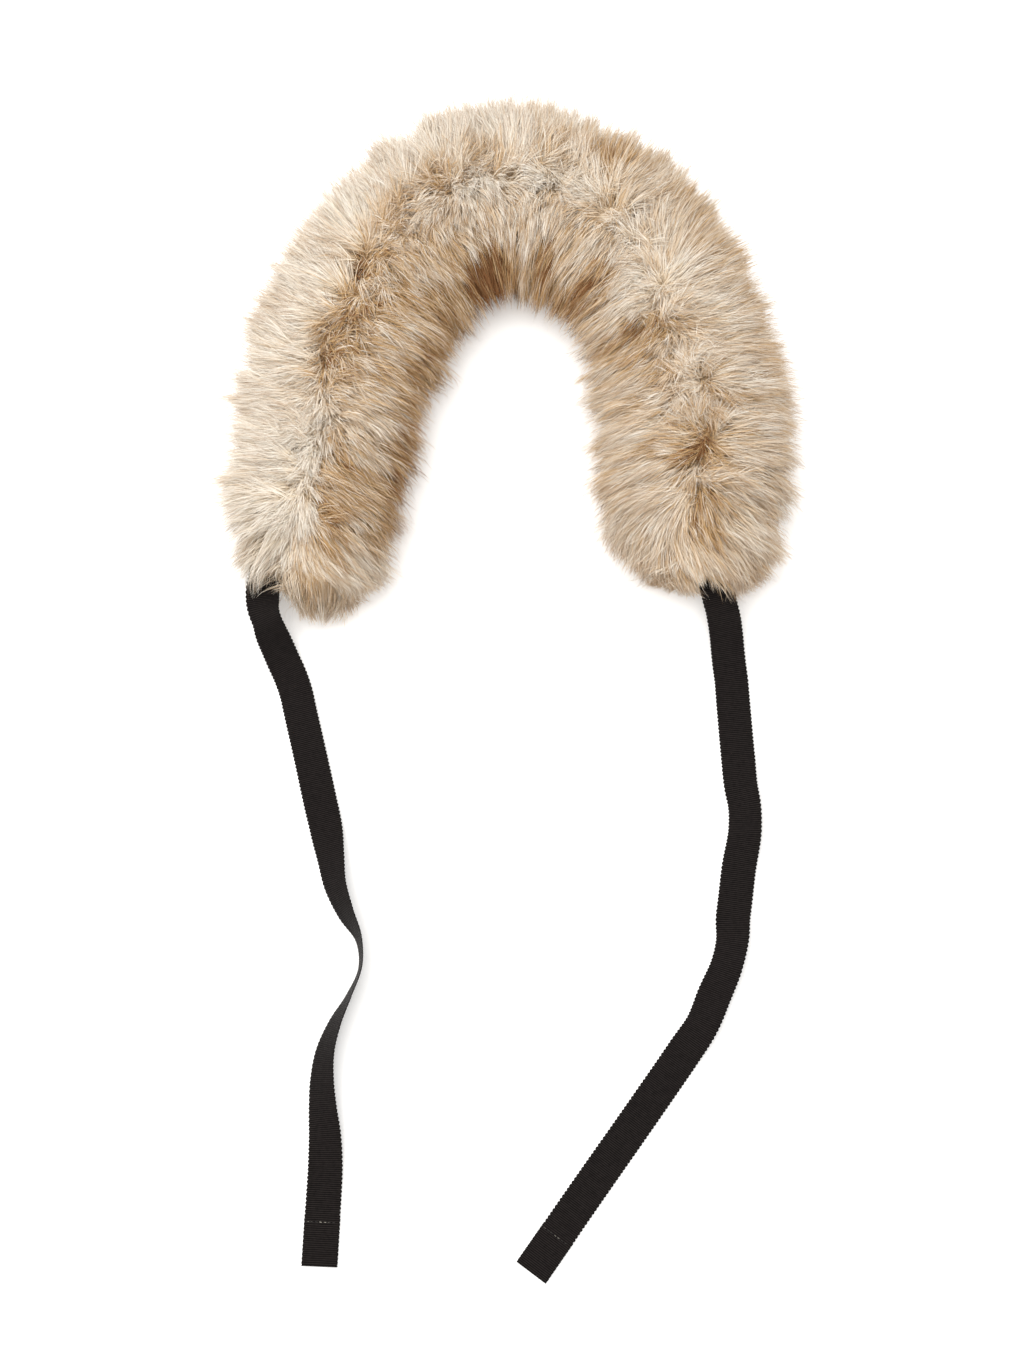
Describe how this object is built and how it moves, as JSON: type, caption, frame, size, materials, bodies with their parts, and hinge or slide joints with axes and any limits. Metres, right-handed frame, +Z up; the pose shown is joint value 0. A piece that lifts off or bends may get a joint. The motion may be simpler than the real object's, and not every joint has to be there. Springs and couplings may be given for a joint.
{
  "type": "fur collar wrap with ribbon ties",
  "caption": "Crescent of long-pile fur that wraps the neck, laid flat, with a grosgrain ribbon sewn into each end to tie it closed.",
  "frame": {"origin": "middle of the footprint, on the surface that the wrap lies on", "axes": "+Z up; +Y towards the back of the neck, so the fur lies at +Y and the ribbons run towards -Y; +X to the right, seen from above with the neck opening towards -Y"},
  "size_m": [0.3802, 0.7677, 0.0582],
  "materials": {
    "fur": "long silky pile, cream with tan and brown roots",
    "ribbon": "matte black grosgrain with fine cross ribs and picot edges"
  },
  "bodies": {
    "root": {"fur_upper_panel": "fur", "fur_under_panel": "fur", "ribbon_left": "ribbon", "ribbon_right": "ribbon"}
  },
  "joints": []
}
